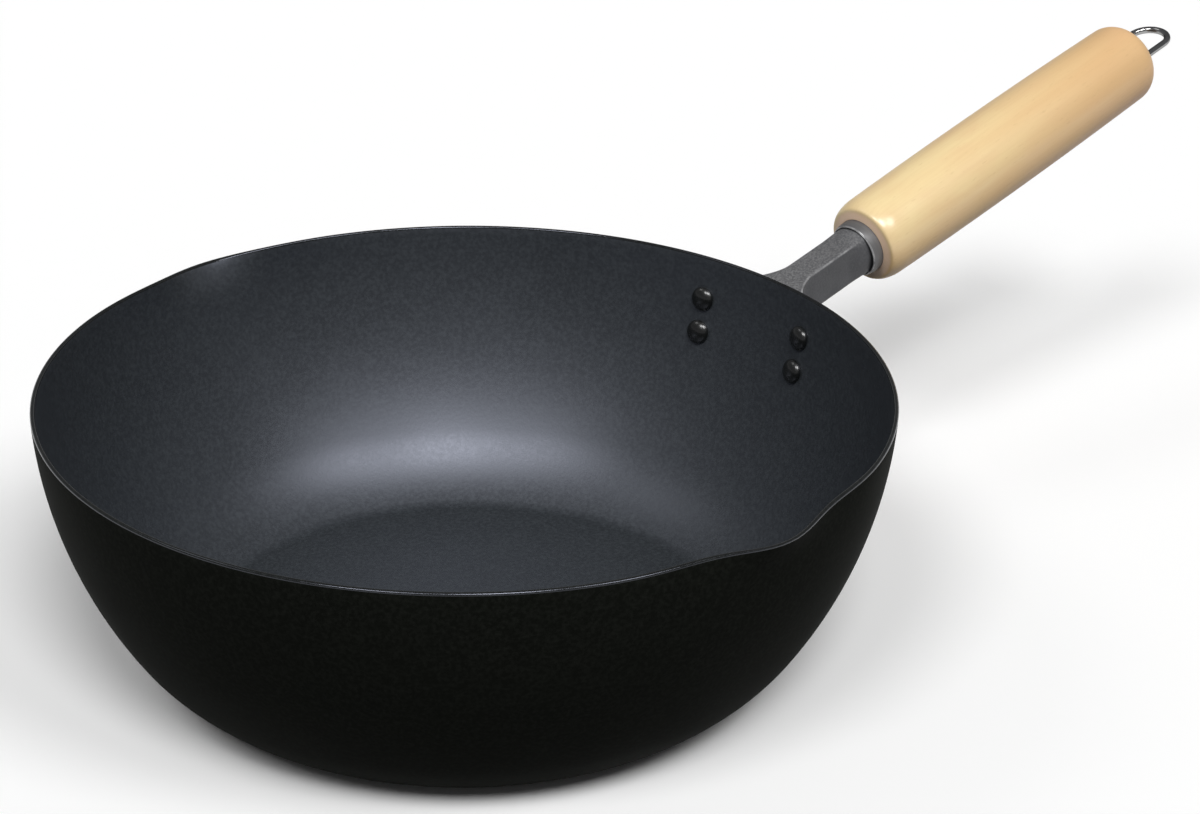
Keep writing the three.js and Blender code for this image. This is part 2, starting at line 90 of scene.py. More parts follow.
# Rivets, with head and tail by radius and height
RIVET_SPREAD = math.radians(10)
RIVETS_BELOW_RIM = {"upper": 16.2, "lower": 28.7}
RIVET_SIDES = {"left": 1, "right": -1}
RIVET_SHANK = 2.2
RIVET_HEAD = (4.5, 2.3)
RIVET_TAIL = (3.5, 2.0)
RIVET_HEAD_GAP = 0.12
RIVET_TAIL_GAP = 0.05
RIVET_HEAD_EDGE = 0.35
RIVET_TAIL_EDGE = 0.3
RIVET_EASE = 0.12
HOLE_CLEARANCE = 0.25
HOLE_REACH = 8.0

# Stations along the handle axis, in pairs from start to end
NECK_END = 58.4
COLLAR_FRONT = 51.2
COLLAR_FLOOR = 61.2
COLLAR_REAR = 65.2
GRIP_FRONT = 55.8
GRIP_REAR = 220.0
RECESS_FLOOR = 205.0
ROD_HEAD = (58.7, 60.9)
ROD_END = 216.6
WASHER = (205.3, 206.8)
NUT = (207.1, 217.6)
LOOP_TIP = 241.95

# Radii about the handle axis, and the roundings there
COLLAR_MOUTH = 9.63
COLLAR_RADIUS = 10.73
COLLAR_LIP = 0.3
COLLAR_BEAD = 0.3
COLLAR_SHOULDER = 3.4
COLLAR_BEAD_END = 0.64 * math.pi
COLLAR_SHOULDER_START = 0.21 * math.pi
COLLAR_REAR_EASE = 0.3
COLLAR_HIGHLIGHT_WIDTH = 1.6 * COLLAR_BEAD
GRIP_END_RADIUS = 16.37
GRIP_BARREL = 0.65
GRIP_FRONT_ROUND = (3.9, 8.4)
GRIP_FRONT_EDGE = 2.4
GRIP_FRONT_FALL = 0.9
GRIP_FRONT_EASE = 1.5
GRIP_RING_SHARES = (0.2, 0.4, 0.6, 0.7)
GRIP_EASED_POINTS = 4
END_GRAIN_AND_LIGHT = (12.9, 14.3)
GRIP_REAR_ROUND = 8.0
GRIP_FRONT_BORE = 10.77
GRIP_BORE_EASE = 0.1
RECESS_RADIUS = 10.2
RECESS_RIM = 0.5
# Points of the recess's eased mouth, past its radius and past the grip's rear edge
RECESS_MOUTH = ((0.12, 0.02), (0.0, -0.4))
RECESS_EASE = 0.3
ROD_HOLE = 3.25
ROD_RADIUS = 3.0
ROD_HEAD_RADIUS = 4.5
ROD_HEAD_CHAMFER = 0.5
ROD_END_CHAMFER = 0.6
THREAD_PITCH = 1.0
THREAD_ROOT = 2.6
THREAD_LEAD = 4
WASHER_RADIUS = 9.95
WASHER_EASE = 0.25
NUT_RADIUS = 6.5
NUT_BORE = 3.1
NUT_EASE = 0.5

# Hanging loop
WIRE_RADIUS = 1.35
LOOP_HALF = 7.75
LOOP_LIFT = 2.2
LOOP_WELD_START = 208.1
WELD_INSETS = (0.6, 0.5)
WELD_OFF_NUT = 0.1
WELD_SPREAD = 0.85
WELD_RADIUS = 0.72
WELD_RIPPLE = 0.09
WELD_RIPPLES = 9

# Gap between seated pieces, and how far a trimming shape reaches past an end
SEAT_GAP = 0.3
PAST_END = 1.0

# Camera and light, with lights by azimuth, elevation and level
PHOTO_WIDTH, PHOTO_FOCAL = 1200.0, 2800.0
SENSOR = 36.0
CAMERA_AT = (-0.5514, -0.6298, 0.4831)
CAMERA_HEADING = math.radians(44.2)
CAMERA_PITCH = math.radians(25.32)
CAMERA_ROLL = 0.0169
CAMERA_CLIP = (0.05, 200)
LIGHT_ANGLE = math.radians(20)
LIGHTS = ((132, 50, 0.05), (-162, 51, 0.29), (-121, 53, 0.48), (-80, 50, 0.28))
FLOOR_REACH = 30000.0
FLOOR_DROP = 0.2
FLOOR_BOUNCE = 0.08
ROOM_LEVEL = 0.14
ROOM_BAND = ((0.0, (0.45, 0.45, 0.46, 1)), (0.3, (0.16, 0.16, 0.165, 1)))

handle_place = Matrix.Translation((RIM_RADIUS * MM, 0, (BOWL_HEIGHT - AXIS_BELOW_RIM) * MM))
handle_place = handle_place @ Matrix.Rotation(-HANDLE_RISE, 4, "Y")


# Shapes

def arc(centre, radius_x, radius_y, start, end, steps):
    """Points of an elliptic arc. The turn is measured from straight down towards +x."""
    turns = np.linspace(start, end, steps + 1)
    return [(centre[0] + radius_x * math.sin(t), centre[1] - radius_y * math.cos(t)) for t in turns]


def eased(corners, steps=5):
    """A closed outline from (x, y, radius) corners, with each corner rounded to its radius."""
    outline = []
    for i, (x, y, radius) in enumerate(corners):
        here = np.array((x, y))
        if radius == 0:
            outline.append((x, y))
            continue
        back = np.array(corners[i - 1][:2]) - here
        ahead = np.array(corners[(i + 1) % len(corners)][:2]) - here
        back, ahead = back / np.linalg.norm(back), ahead / np.linalg.norm(ahead)
        half = math.acos(np.clip(back @ ahead, -1, 1)) / 2
        middle = (back + ahead) / np.linalg.norm(back + ahead)
        centre = here + middle * radius / math.sin(half)
        first = here + back * radius / math.tan(half) - centre
        last = here + ahead * radius / math.tan(half) - centre
        turn = math.atan2(first[0] * last[1] - first[1] * last[0], first @ last)
        for step in range(steps + 1):
            a = turn * step / steps
            outline.append(tuple(centre + (first[0] * math.cos(a) - first[1] * math.sin(a),
                                           first[0] * math.sin(a) + first[1] * math.cos(a))))
    return outline


def spun(profile, segments, axis="X"):
    """Points and faces of a profile of (radius, station) points spun about the X or Z axis."""
    turns = np.arange(segments) * (2 * math.pi / segments)
    points, rings = [], []
    for radius, station in profile:
        count = segments if radius > POLE_RADIUS else 1
        rings.append(range(len(points), len(points) + count))
        for t in turns[:count]:
            across = (radius * math.cos(t), radius * math.sin(t))
            points.append((station, *across) if axis == "X" else (*across, station))
    return np.array(points), ring_faces(rings, segments, True)


def ring_faces(rings, segments, closed):
    """Faces between neighbouring rings of points, where a ring of one point is a pole."""
    faces = []
    for this, following in zip(rings, [*rings[1:], rings[0]] if closed else rings[1:]):
        if len(this) == len(following) == 1:
            continue
        for i in range(segments):
            j = (i + 1) % segments
            corners = [this[i % len(this)], this[j % len(this)],
                       following[j % len(following)], following[i % len(following)]]
            faces.append(list(dict.fromkeys(corners)))
    return faces


def swept(centres, sides, radii, segments):
    """A round bar with closed ends along centres in a level plane, with a level side vector at each."""
    turns = np.arange(segments) * (2 * math.pi / segments)
    points, rings = [], []
    for centre, side, radius in zip(centres, sides, radii):
        count = segments if radius > POLE_RADIUS else 1
        rings.append(range(len(points), len(points) + count))
        for t in turns[:count]:
            points.append(centre + radius * (math.cos(t) * side + math.sin(t) * np.array((0, 0, 1))))
    return np.array(points), ring_faces(rings, segments, False)


def new_object(name, points, faces, place=Matrix()):
    """An object from points in millimetres, with its vertices set in place in the frame."""
    mesh = bpy.data.meshes.new(name)
    mesh.from_pydata([place @ Vector(p) for p in np.asarray(points) * MM], [], faces)
    made = bmesh.new()
    made.from_mesh(mesh)
    bmesh.ops.recalc_face_normals(made, faces=made.faces)
    made.to_mesh(mesh)
    made.free()
    piece = bpy.data.objects.new(name, mesh)
    bpy.context.scene.collection.objects.link(piece)
    return piece


def apply_modifiers(piece):
    """Replaces the piece's mesh by the one that its modifiers make."""
    old = piece.data
    ready = piece.evaluated_get(bpy.context.evaluated_depsgraph_get())
    piece.data = bpy.data.meshes.new_from_object(ready)
    piece.modifiers.clear()
    bpy.data.meshes.remove(old)


def combine(piece, other, operation):
    """Joins, cuts or trims a piece with another object, which is used up."""
    change = piece.modifiers.new("combine", "BOOLEAN")
    change.operation = operation
    change.solver = "EXACT"
    change.object = other
    apply_modifiers(piece)
    bpy.data.objects.remove(other)


def point_values(piece, name, values):
    """Keeps a number for each vertex, for the piece's material to read."""
    kept = piece.data.attributes.new(name, "FLOAT", "POINT")
    kept.data.foreach_set("value", np.asarray(values, np.float32))


def vertices(piece):
    """The piece's vertices as rows of x, y and z, in metres."""
    flat = np.zeros(len(piece.data.vertices) * 3)
    piece.data.vertices.foreach_get("co", flat)
    return flat.reshape(-1, 3)


def dress(piece, materials, node, body="pan", sharp=35):
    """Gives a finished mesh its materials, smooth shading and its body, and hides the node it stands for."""
    piece.data.materials.clear()
    for material in materials:
        piece.data.materials.append(material)
    piece.data.shade_smooth()
    piece.data.set_sharp_from_angle(angle=math.radians(sharp))
    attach(piece, body)
    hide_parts(node)


# Bowl section: a tight edge leaves the flat base, and a corner arc follows it.
# A wall arc tangent to that ends at the rim.
edge_centre = np.array((BASE_RADIUS, BASE_EDGE_RADIUS))
towards_edge = np.array((math.sin(BASE_EDGE_TURN), -math.cos(BASE_EDGE_TURN)))
corner_centre = edge_centre - towards_edge * (CORNER_RADIUS - BASE_EDGE_RADIUS)
towards_centre = np.array((-math.sin(CORNER_TURN), math.cos(CORNER_TURN)))
wall_start = corner_centre - towards_centre * CORNER_RADIUS
wall_end = np.array((RIM_RADIUS, BOWL_HEIGHT - BOWL_WALL / 2))
wall_chord = wall_end - wall_start
wall_radius = wall_chord @ wall_chord / (2 * wall_chord @ towards_centre)
wall_centre = wall_start + towards_centre * wall_radius
wall_end_turn = math.atan2(wall_end[0] - wall_centre[0], wall_centre[1] - wall_end[1])


def bowl_curve(offset, edge_steps=10, corner_steps=16, wall_steps=30):
    """The bowl's outside moved out by an offset, from the edge of the base to the rim."""
    edge_arc, corner_arc, wall_arc = BASE_EDGE_RADIUS + offset, CORNER_RADIUS + offset, wall_radius + offset
    edge = arc(edge_centre, edge_arc, edge_arc, 0, BASE_EDGE_TURN, edge_steps)
    corner = arc(corner_centre, corner_arc, corner_arc, BASE_EDGE_TURN, CORNER_TURN, corner_steps)
    wall = arc(wall_centre, wall_arc, wall_arc, CORNER_TURN, wall_end_turn, wall_steps)
    return edge + corner[1:] + wall[1:]


def wall_radius_at(height, offset):
    """Radius of the wall's outside, moved out by an offset, at a height."""
    return wall_centre[0] + math.sqrt((wall_radius + offset) ** 2 - (height - wall_centre[1]) ** 2)


def lip_crest(points):
    """How far the rim is drawn out at each point's azimuth: a crest with flatter rim beside it."""
    from_lip = np.degrees(np.abs(np.arctan2(points[:, 1], points[:, 0]))) - 90
    return (1 - (from_lip / LIP_HALF_ANGLE) ** 2) * np.exp(-((from_lip / LIP_SPREAD_ANGLE) ** 2))


def below_rim(points):
    """How far each point lies below the rim at its azimuth."""
    return BOWL_HEIGHT - LIP_DIP * lip_crest(points) - points[:, 2]


def with_lips(points):
    """Draws the rim out into the two lips, fading down the wall."""
    radius = np.hypot(points[:, 0], points[:, 1])
    azimuth = np.arctan2(points[:, 1], points[:, 0])
    depth = np.clip((points[:, 2] - BOWL_HEIGHT + LIP_FADE_DEPTH) / LIP_FADE_DEPTH, 0, None)
    drawn = lip_crest(points) * depth ** 2
    reach = radius + LIP_REACH * drawn
    return np.column_stack((reach * np.cos(azimuth), reach * np.sin(azimuth), points[:, 2] - LIP_DIP * drawn))


def bowl_shell(segments=288):
    """Base, outside, round rim, inside and floor as one closed shell with its lips."""
    outside = bowl_curve(0)
    inside = bowl_curve(-BOWL_WALL)[::-1]
    rim_centre = (np.array(outside[-1]) + np.array(inside[0])) / 2
    half = BOWL_WALL / 2
    rim = arc(rim_centre, half, half, wall_end_turn, wall_end_turn + math.pi, 8)
    base = [(BASE_RADIUS * share, 0) for share in np.linspace(0, 1, 6)[:-1]]
    floor = [(BASE_RADIUS * share, BOWL_WALL) for share in np.linspace(1, 0, 6)[1:]]
    points, faces = spun([*base, *outside, *rim[1:-1], *inside, *floor], segments, "Z")
    return with_lips(points), faces


def bowl_room(name, offset):
    """The bowl's room, moved out by an offset and carried past the rim, in the handle's frame."""
    curve = bowl_curve(offset, edge_steps=8, corner_steps=12, wall_steps=20)
    top = BOWL_HEIGHT + AXIS_BELOW_RIM
    points, faces = spun([(0, -offset), *curve, (curve[-1][0], top), (0, top)], 256, "Z")
    into_handle = np.array(handle_place.inverted())
    return new_object(name, (points * MM @ into_handle[:3, :3].T + into_handle[:3, 3]) / MM, faces)


# Rivets

def rivet_place(side, depth):
    """Place of a rivet on the wall's outside, with its x axis square to the wall."""
    height = BOWL_HEIGHT - depth
    azimuth = RIVET_SIDES[side] * RIVET_SPREAD
    radius = wall_radius_at(height, 0)
    lean = math.asin((height - wall_centre[1]) / wall_radius)
    at = Vector((radius * math.cos(azimuth), radius * math.sin(azimuth), height)) * MM
    return Matrix.Translation(at) @ Matrix.Rotation(azimuth, 4, "Z") @ Matrix.Rotation(-lean, 4, "Y")


rivet_places = {
    f"{row}_{side}": rivet_place(side, depth)
    for row, depth in RIVETS_BELOW_RIM.items()
    for side in RIVET_SIDES
}


def rivet_mesh():
    """A domed head inside the bowl, a shank through wall and ear, and a lower dome outside."""
    head_base = -BOWL_WALL - RIVET_HEAD_GAP
    tail_base = SEAT_GAP + PLATE + RIVET_TAIL_GAP
    head = arc((0, head_base - RIVET_HEAD_EDGE), *RIVET_HEAD, 0, math.pi / 2, 12)
    tail = arc((0, tail_base + RIVET_TAIL_EDGE), *RIVET_TAIL, math.pi / 2, math.pi, 12)
    profile = [*head, (RIVET_HEAD[0] - RIVET_EASE, head_base), (RIVET_SHANK, head_base),
               (RIVET_SHANK, tail_base), (RIVET_TAIL[0] - RIVET_EASE, tail_base), *tail]
    return spun(profile, 40)


def pierced(piece, into_frame):
    """Cuts the four rivet holes."""
    radius = RIVET_SHANK + HOLE_CLEARANCE
    profile = [(0, -HOLE_REACH), (radius, -HOLE_REACH), (radius, HOLE_REACH), (0, HOLE_REACH)]
    for place in rivet_places.values():
        hole = new_object("hole", *spun(profile, 32), into_frame @ place)
        combine(piece, hole, "DIFFERENCE")


# Bracket, in the handle's frame

def wall_station(across, up, offset):
    """Station where the wall, moved out by an offset, meets a line that runs along the handle axis."""
    station = 0
    # Each round corrects the height at which the line meets the leaning wall
    for _ in range(12):
        height = BOWL_HEIGHT - AXIS_BELOW_RIM + station * math.sin(HANDLE_RISE) + up * math.cos(HANDLE_RISE)
        reach = math.sqrt(wall_radius_at(height, offset) ** 2 - across ** 2)
        station = (reach - RIM_RADIUS + up * math.sin(HANDLE_RISE)) / math.cos(HANDLE_RISE)
    return station


def bracket_level(up, inset, end, steps=28):
    """Plan of the bracket at one height, moved in by an inset: along the neck, into the flare, and back."""
    depth = np.clip((NECK_TOP - up) / (NECK_TOP + EAR_BOTTOM), 0, 1)
    share = math.sqrt(depth)
    ear_across = (FLARE_WIDTH_TOP + (FLARE_WIDTH_LOW - FLARE_WIDTH_TOP) * share) / 2
    settle_across = ear_across + (NECK_HALF - ear_across) * FLARE_SETTLE
    length = FLARE_LENGTH_TOP + (FLARE_LENGTH_LOW - FLARE_LENGTH_TOP) * share
    ear_station = wall_station(ear_across, up, SEAT_GAP + PLATE)
    bend = np.array((
        (ear_station + length, NECK_HALF),
        (ear_station + length * (1 - FLARE_HOLD), NECK_HALF),
        (wall_station(settle_across, up, SEAT_GAP + PLATE), settle_across),
        (ear_station, ear_across),
    ))
    left = [(end, NECK_HALF - inset)]
    for t in np.linspace(0, 1, steps + 1):
        at = np.array(((1 - t) ** 3, 3 * t * (1 - t) ** 2, 3 * t * t * (1 - t), t ** 3)) @ bend
        along = np.array(((1 - t) ** 2, 2 * t * (1 - t), t * t)) @ np.diff(bend, axis=0)
        along = along / np.linalg.norm(along)
        left.append((at[0] - along[1] * inset, at[1] + along[0] * inset))
    left.append((-RIM_RADIUS / 2, left[-1][1]))
    right = [(x, -y) for x, y in reversed(left)]
    return [(x, y, up) for x, y in right + left]


def loft(name, levels):
    """Joins level outlines into one closed solid."""
    count = len(levels[0])
    rings = [range(row * count, (row + 1) * count) for row in range(len(levels))]
    faces = ring_faces(rings, count, False) + [list(rings[0]), list(rings[-1])]
    return new_object(name, [p for level in levels for p in level], faces)


def prism(name, outline, depth, columns):
    """An outline carried evenly to both sides. Columns gives the axes of its x, its y and the depth."""
    points = np.zeros((2 * len(outline), 3))
    for row, (x, y) in enumerate(outline):
        for side in (0, 1):
            points[row + side * len(outline), columns] = (x, y, depth * (side - 0.5))
    rings = [range(0, len(outline)), range(len(outline), 2 * len(outline))]
    return new_object(name, points, ring_faces(rings, len(outline), False) + [list(r) for r in rings])


def heights(top, bottom, count=18):
    """Heights from top to bottom, closer together near the top."""
    return [top + (bottom - top) * (i / count) ** 2 for i in range(count + 1)]


def bracket_piece():
    """The neck and flare with the ears on the wall, hollowed from below and pierced for the rivets."""
    levels = []
    for turn in np.linspace(0, math.pi / 2, 5)[:-1]:
        drop, inset = NECK_EDGE_ROUND * (1 - math.cos(turn)), NECK_EDGE_ROUND * (1 - math.sin(turn))
        levels.append(bracket_level(NECK_TOP - drop, inset, NECK_END))
    for up in heights(NECK_TOP - NECK_EDGE_ROUND, -EAR_BOTTOM):
        levels.append(bracket_level(up, 0, NECK_END))
    piece = loft("pressed_bracket", levels)

    foot = wall_station(FLARE_WIDTH_LOW / 2, -EAR_BOTTOM, SEAT_GAP + PLATE)
    start = np.array((foot, -EAR_BOTTOM))
    bend = np.array((foot + UNDERCUT_LENGTH / 2, -NECK_BOTTOM))
    end = np.array((foot + UNDERCUT_LENGTH, -NECK_BOTTOM))
    underside = []
    for t in np.linspace(0, 1, 25):
        underside.append(tuple((1 - t) ** 2 * start + 2 * t * (1 - t) * bend + t * t * end))
    back, ahead = -RIM_RADIUS / 2, NECK_END + PAST_END
    above = NECK_TOP + PLATE
    side_view = [(back, above), (back, -EAR_BOTTOM), *underside, (ahead, -NECK_BOTTOM), (ahead, above)]
    combine(piece, prism("side_view", side_view, EAR_WIDTH, [0, 2, 1]), "INTERSECT")

    half = EAR_WIDTH / 2
    corners = [(-half, -EAR_BOTTOM, EAR_CORNER), (half, -EAR_BOTTOM, EAR_CORNER),
               (half, NECK_TOP, EAR_CORNER), (-half, NECK_TOP, EAR_CORNER)]
    ears = bowl_room("ears", SEAT_GAP + PLATE)
    combine(ears, prism("ear_view", eased(corners, 14), RIM_RADIUS, [1, 2, 0]), "INTERSECT")
    combine(piece, ears, "UNION")
    combine(piece, bowl_room("wall", SEAT_GAP), "DIFFERENCE")
    below = -EAR_BOTTOM - PLATE
    hollow = [bracket_level(up, PLATE, NECK_END + PLATE) for up in heights(NECK_TOP - PLATE, below)]
    combine(piece, loft("hollow", hollow), "DIFFERENCE")
    pierced(piece, handle_place.inverted())

    # The press leaves no sharp edge, so the mesh is remade evenly and its edges are eased
    even = piece.modifiers.new("even", "REMESH")
    even.mode = "VOXEL"
    even.voxel_size = BRACKET_VOXEL * MM
    ease = piece.modifiers.new("ease", "SMOOTH")
    ease.factor = 0.5
    ease.iterations = 5
    apply_modifiers(piece)
    crown_neck(piece)
    point_values(piece, "edge", edge_strength(piece, SHARP_CURVATURE))
    # Upward faces, where the material paints light on top
    facing_up = np.array([v.normal.z for v in piece.data.vertices])
    point_values(piece, "upper", np.clip(2 * facing_up - 0.6, 0, 1))
    piece.data.transform(handle_place)
    return piece


def crown_neck(piece):
    """Swages the neck's top and sides out into slight crowns where it enters the round collar."""
    at = vertices(piece) / MM
    start, end = NECK_CROWN_SPAN
    along = np.clip((at[:, 0] - start) / (end - start), 0, 1)
    along = along * along * (3 - 2 * along)
    over_top = np.clip(1 - (at[:, 1] / NECK_HALF) ** 2, 0, 1)
    over_side = np.clip(1 - (at[:, 2] / NECK_TOP) ** 2, 0, 1) * np.sign(at[:, 1])
    near_top = np.clip((at[:, 2] - NECK_TOP + 2 * PLATE) / PLATE, 0, 1)
    near_side = np.clip((np.abs(at[:, 1]) - NECK_HALF + 2 * PLATE) / PLATE, 0, 1)
    at[:, 2] += NECK_CROWN * along * over_top * near_top
    at[:, 1] += NECK_SIDE_CROWN * along * over_side * near_side
    piece.data.vertices.foreach_set("co", (at * MM).ravel())
    piece.data.update()


def edge_strength(piece, full):
    """How sharply the surface turns outward at each vertex, from 0 to 1 at a full curvature in 1/m."""
    at = vertices(piece)
    normal = np.array([v.normal for v in piece.data.vertices])
    pairs = np.array([e.vertices for e in piece.data.edges])
    step = at[pairs[:, 0]] - at[pairs[:, 1]]
    bend = ((normal[pairs[:, 0]] - normal[pairs[:, 1]]) * step).sum(1) / (step * step).sum(1)
    total, count = np.zeros(len(at)), np.zeros(len(at))
    for column in (0, 1):
        np.add.at(total, pairs[:, column], bend)
        np.add.at(count, pairs[:, column], 1)
    return np.clip(total / np.maximum(count, 1) / full, 0, 1)


# Turned pieces of the handle

def collar_mesh():
    """A cup with a beaded mouth, a domed shoulder and a hole for the rod."""
    lip = COLLAR_MOUTH + COLLAR_LIP
    bead_centre = (lip, COLLAR_FRONT + COLLAR_BEAD)
    bead = arc(bead_centre, COLLAR_BEAD, COLLAR_BEAD, -math.pi / 2, COLLAR_BEAD_END, 14)
    shoulder_centre = (lip, COLLAR_FRONT + COLLAR_SHOULDER)
    shoulder_width = COLLAR_RADIUS - lip
    shoulder = arc(shoulder_centre, shoulder_width, COLLAR_SHOULDER, COLLAR_SHOULDER_START, math.pi / 2, 14)
    corners = [
        (COLLAR_MOUTH, COLLAR_FLOOR, 0), (COLLAR_MOUTH, COLLAR_FRONT + 3 * COLLAR_BEAD, 0),
        *[(r, s, 0) for r, s in bead + shoulder],
        (COLLAR_RADIUS, COLLAR_REAR, COLLAR_REAR_EASE),
        (ROD_HOLE, COLLAR_REAR, 0), (ROD_HOLE, COLLAR_FLOOR, 0),
    ]
    return spun(eased(corners), 128)


def grip_mesh():
    """A barrel with a conical front ring, rounded ends, a bore for the collar and rod, and a rear recess."""
    front_depth, front_length = GRIP_FRONT_ROUND
    barrel_front, barrel_rear = GRIP_FRONT + front_length, GRIP_REAR - GRIP_REAR_ROUND
    edge_turn = math.asin(1 - GRIP_FRONT_EDGE / front_depth)
    front_centre = (GRIP_END_RADIUS - front_depth, barrel_front)
    front_reach = front_length / math.cos(edge_turn)
    front_turn = math.acos((front_length - GRIP_FRONT_FALL) / front_reach)
    front = arc(front_centre, front_depth, front_reach, front_turn, math.pi / 2, 20)
    barrel = []
    for share in np.linspace(0, 1, 41)[1:-1]:
        swell = GRIP_BARREL * 4 * share * (1 - share)
        barrel.append((GRIP_END_RADIUS + swell, barrel_front + (barrel_rear - barrel_front) * share))
    rear_centre = GRIP_END_RADIUS - GRIP_REAR_ROUND
    last_turn = math.pi - math.asin((RECESS_RADIUS + RECESS_RIM - rear_centre) / GRIP_REAR_ROUND)
    rear = arc((rear_centre, barrel_rear), GRIP_REAR_ROUND, GRIP_REAR_ROUND, math.pi / 2, last_turn, 20)
    edge = rear[-1][1]
    ring = []
    for share in GRIP_RING_SHARES:
        radius = GRIP_FRONT_BORE + (front[0][0] - GRIP_FRONT_BORE) * share
        ring.append((radius, GRIP_FRONT + GRIP_FRONT_FALL * share, 0))
    bore_floor = COLLAR_REAR + SEAT_GAP
    # The front's first points lie inside the easing of its edge, so they are left out
    corners = [
        (GRIP_FRONT_BORE, GRIP_FRONT, GRIP_BORE_EASE), *ring, (*front[0], GRIP_FRONT_EASE),
        *[(r, s, 0) for r, s in front[GRIP_EASED_POINTS:] + barrel + rear],
        *[(RECESS_RADIUS + r, edge + s, 0) for r, s in RECESS_MOUTH],
        (RECESS_RADIUS, RECESS_FLOOR, RECESS_EASE), (ROD_HOLE, RECESS_FLOOR, 0),
        (ROD_HOLE, bore_floor, 0), (GRIP_FRONT_BORE, bore_floor, 0),
    ]
    return spun(eased(corners), 144)


def rod_mesh():
    """A rod with a flat head and ridges that stand for the thread inside the nut."""
    thread = []
    for crest in np.arange(NUT[0] - THREAD_LEAD, ROD_END - THREAD_PITCH, THREAD_PITCH):
        thread += [(ROD_RADIUS, crest), (THREAD_ROOT, crest + THREAD_PITCH / 2)]
    head_start, head_end = ROD_HEAD
    profile = [(0, head_start), (ROD_HEAD_RADIUS - ROD_HEAD_CHAMFER, head_start),
               (ROD_HEAD_RADIUS, head_start + ROD_HEAD_CHAMFER), (ROD_HEAD_RADIUS, head_end),
               (ROD_RADIUS, head_end), *thread, (ROD_RADIUS, ROD_END - ROD_END_CHAMFER),
               (ROD_RADIUS - ROD_END_CHAMFER, ROD_END), (0, ROD_END)]
    return spun(profile, 48)


def ring_mesh(inner, outer, span, ease):
    """A ring about the handle axis with eased edges."""
    corners = [(inner, span[0], ease), (outer, span[0], ease), (outer, span[1], ease), (inner, span[1], ease)]
    return spun(eased(corners), 96)


def loop_piece():
    """The bent wire with rounded ends, and the weld beads that join its legs to the nut."""
    bend_start = LOOP_TIP - WIRE_RADIUS - LOOP_HALF
    cap_turns = np.linspace(0, math.pi / 2, 6)[:-1]
    leg = [(LOOP_WELD_START - WIRE_RADIUS / 2 * math.cos(t), WIRE_RADIUS * math.sin(t)) for t in cap_turns]
    leg += [(x, WIRE_RADIUS) for x in np.linspace(LOOP_WELD_START, bend_start, 24)]
    line = [(x, LOOP_HALF, 0, 1, radius) for x, radius in leg]
    for t in np.linspace(0, math.pi, 49)[1:-1]:
        across = (math.sin(t), math.cos(t))
        line.append((bend_start + LOOP_HALF * across[0], LOOP_HALF * across[1], *across, WIRE_RADIUS))
    line += [(x, -LOOP_HALF, 0, -1, radius) for x, radius in leg[::-1]]
    centres = [np.array((x, y, LOOP_LIFT)) for x, y, *_ in line]
    sides = [np.array((across_x, across_y, 0)) for _, _, across_x, across_y, _ in line]
    points, faces = swept(centres, sides, [place[-1] for place in line], 28)

    contact = NUT_RADIUS + WELD_OFF_NUT
    lean = math.atan2(LOOP_LIFT, LOOP_HALF)
    stations = np.linspace(LOOP_WELD_START + WELD_INSETS[0], NUT[1] - WELD_INSETS[1], 60)
    share = np.linspace(0, 1, len(stations))
    size = WELD_RADIUS * np.sqrt(np.clip(1 - (2 * share - 1) ** 8, 0, 1))
    size = size * (1 + WELD_RIPPLE * np.cos(share * 2 * WELD_RIPPLES * math.pi))
    for side in (1, -1):
        for above in (1, -1):
            y = contact * math.cos(lean) - above * WELD_SPREAD * math.sin(lean)
            z = contact * math.sin(lean) + above * WELD_SPREAD * math.cos(lean)
            bead = [np.array((x, side * y, z)) for x in stations]
            across = [np.array((0, 1.0, 0))] * len(bead)
            more, more_faces = swept(bead, across, size, 14)
            faces += [[corner + len(points) for corner in face] for face in more_faces]
            points = np.vstack((points, more))
    return new_object("wire_loop", points, faces, handle_place)


# Materials

